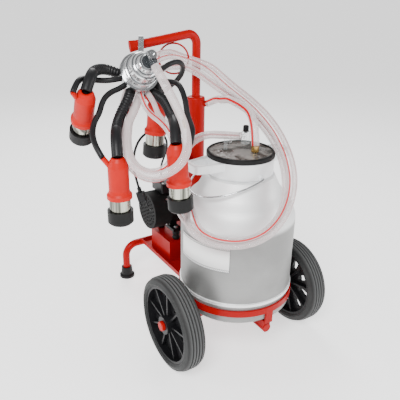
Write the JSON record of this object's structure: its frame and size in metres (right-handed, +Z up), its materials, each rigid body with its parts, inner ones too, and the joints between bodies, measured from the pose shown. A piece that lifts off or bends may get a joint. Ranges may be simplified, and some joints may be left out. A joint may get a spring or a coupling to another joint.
{
  "type": "milking machine",
  "caption": "Wheeled bucket milking machine: aluminium can on a red frame with motor, vacuum pump, tank and a four-cup milking cluster",
  "frame": {"origin": "on the floor directly under the middle of the wheel axle", "axes": "X along the axle with the cluster side at -X, +Y from the can towards the motor and the rear leg, +Z up"},
  "size_m": [0.6722, 0.707, 0.8922],
  "materials": {
    "steel": "machined or zinc plated steel",
    "claw_steel": "polished stainless steel",
    "red_paint": "glossy red powder coat",
    "bolt": "zinc plated fastener",
    "can_aluminium": "satin spun aluminium",
    "collar_cast": "pale cast aluminium",
    "clear": "clear polycarbonate",
    "black_rubber": "black rubber",
    "sleeve_red": "orange-red moulded sleeve",
    "black_plastic": "black plastic",
    "red_cap": "red push-on cap",
    "clear_hose": "clear flexible hose with a thin red stripe",
    "black_hose": "black rubber tube",
    "motor_black": "satin black enamel",
    "wheel_plastic": "moulded black wheel disc",
    "copper": "varnished winding and laminations",
    "tyre": "ribbed black rubber tread with dusty grey sidewalls",
    "brass": "amber brass fitting"
  },
  "bodies": {
    "chassis": {"axle": "steel", "base_plate": "red_paint", "bolts": "bolt", "can_body": "can_aluminium", "can_collar": "collar_cast", "can_hoop": "red_paint", "claw_bowl": "clear", "claw_hook": "claw_steel", "claw_manifold": "claw_steel", "claw_ring": "claw_steel", "cup_bands": "claw_steel", "cup_mouthpieces": "black_rubber", "cup_sleeves": "sleeve_red", "fan_cowl": "black_plastic", "float_cage": "black_plastic", "frame_spine": "red_paint", "handle_tube": "red_paint", "hose_ring": "red_paint", "hub_caps": "red_cap", "isolators": "black_rubber", "leg_feet": "black_rubber", "lid_glass": "clear", "lid_seal": "black_rubber", "lid_spouts": "clear", "milk_hose": "clear_hose", "milk_tube_1": "black_hose", "milk_tube_2": "black_hose", "milk_tube_3": "black_hose", "milk_tube_4": "black_hose", "motor_bearings": "steel", "motor_box": "red_paint", "motor_housing": "motor_black", "power_cord": "black_hose", "power_plug": "black_plastic", "pulsator": "black_plastic", "pulse_hose_a": "clear_hose", "pulse_hose_b": "clear_hose", "pulse_tube_1": "black_hose", "pulse_tube_2": "black_hose", "pulse_tube_3": "black_hose", "pulse_tube_4": "black_hose", "pump_casing": "motor_black", "rear_leg": "red_paint", "stator": "copper", "suction_hose": "black_hose", "terminal_box": "black_plastic", "vacuum_hose": "clear_hose", "vacuum_port": "brass", "vacuum_regulator": "brass", "vacuum_tank": "red_paint"},
    "wheel_left": {"tyre_left": "tyre", "rim_left": "wheel_plastic"},
    "wheel_right": {"tyre_right": "tyre", "rim_right": "wheel_plastic"},
    "motor_rotor": {"rotor_shaft": "steel", "fan": "black_plastic", "pump_rotor": "steel"},
    "bail": {"bail": "claw_steel"},
    "claw_valve": {"claw_valve_knob": "claw_steel"},
    "lid_knob": {"lid_knob": "black_rubber"}
  },
  "joints": [
    {"name": "wheel_left_spin", "type": "hinge", "parent": "chassis", "child": "wheel_left", "pos_m": [-0.218, 0, 0.136], "axis": [1, 0, 0], "continuous": true},
    {"name": "wheel_right_spin", "type": "hinge", "parent": "chassis", "child": "wheel_right", "pos_m": [0.218, 0, 0.136], "axis": [1, 0, 0], "continuous": true},
    {"name": "motor_spin", "type": "hinge", "parent": "chassis", "child": "motor_rotor", "pos_m": [0.01, 0.35, 0.318], "axis": [1, 0, 0], "continuous": true},
    {"name": "bail_swing", "type": "hinge", "parent": "chassis", "child": "bail", "pos_m": [0, 0.009, 0.554], "axis": [0, 1, 0], "range_deg": [-7, 22]},
    {"name": "claw_valve_pull", "type": "slide", "parent": "chassis", "child": "claw_valve", "axis": [0, -0.848, 0.53], "range_m": [0, 0.006]},
    {"name": "vent_plug_lift", "type": "slide", "parent": "chassis", "child": "lid_knob", "axis": [0, 0, 1], "range_m": [0, 0.003]}
  ]
}
